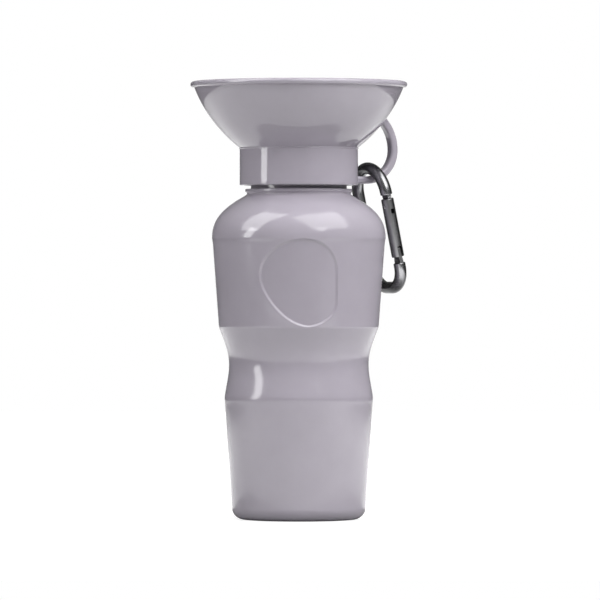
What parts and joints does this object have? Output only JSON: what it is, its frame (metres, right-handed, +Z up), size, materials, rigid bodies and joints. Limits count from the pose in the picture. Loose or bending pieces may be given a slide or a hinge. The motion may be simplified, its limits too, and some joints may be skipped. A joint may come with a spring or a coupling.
{
  "type": "dog travel water bottle",
  "caption": "Squeeze-fill travel bottle with a screw-on drinking bowl, dip tube, carry loop and hanging carabiner.",
  "frame": {"origin": "middle of the base, on the surface that the bottle stands on", "axes": "+Z up along the bottle's axis, thumb pad towards -Y, carry loop and carabiner towards +X"},
  "size_m": [0.1086, 0.1086, 0.2188],
  "materials": {
    "bottle": "glossy blow-moulded squeeze plastic",
    "bowl": "glossy injection-moulded plastic",
    "flow_parts": "natural moulded plastic",
    "seals": "matt silicone",
    "carabiner": "dark anodised, satin",
    "pins": "plain"
  },
  "bodies": {
    "bottle": {"bottle_body": "bottle"},
    "insert": {"flow_insert": "flow_parts", "dip_tube": "flow_parts", "neck_gasket": "seals"},
    "seal": {"spigot_o_ring": "seals"},
    "bowl": {"drinking_bowl": "bowl", "stopper": "seals", "carry_loop": "bowl"},
    "carabiner": {"carabiner_frame": "carabiner", "gate_rivet": "pins"},
    "gate": {"carabiner_gate": "carabiner", "latch_pin": "pins", "gate_spring": "pins"},
    "plunger": {"gate_plunger": "pins"}
  },
  "joints": [
    {"name": "top_lift", "type": "slide", "parent": "bottle", "child": "insert", "axis": [0, 0, 1], "range_m": [0, 0.18]},
    {"name": "bowl_rise", "type": "slide", "parent": "insert", "child": "seal", "axis": [0, 0, 1], "range_m": [0, 0.00635]},
    {"name": "bowl_turn", "type": "hinge", "parent": "seal", "child": "bowl", "pos_m": [0, 0, 0.19], "axis": [0, 0, 1], "range_deg": [0, 540]},
    {"name": "carabiner_swing", "type": "hinge", "parent": "bowl", "child": "carabiner", "pos_m": [0.03454, 0.01745, 0.17579], "axis": [0.515, -0.8572, 0], "range_deg": [0, 100]},
    {"name": "gate_swing", "type": "hinge", "parent": "carabiner", "child": "gate", "pos_m": [0.04504, 0.0083, 0.15646], "axis": [0.8368, 0.5028, 0.2166], "range_deg": [0, 20], "stiffness_Nm_per_rad": 0.05, "springref_deg": -17.19},
    {"name": "plunger_travel", "type": "slide", "parent": "gate", "child": "plunger", "axis": [0.1857, 0.1116, -0.9763], "range_m": [0, 0.0004], "deforming": ["gate_spring"]}
  ],
  "couplings": [
    {"joint": "bowl_rise", "follows": "bowl_turn", "m_per_rad": 0.00067322},
    {"joint": "plunger_travel", "follows": "gate_swing", "m_per_rad": 0.001}
  ]
}
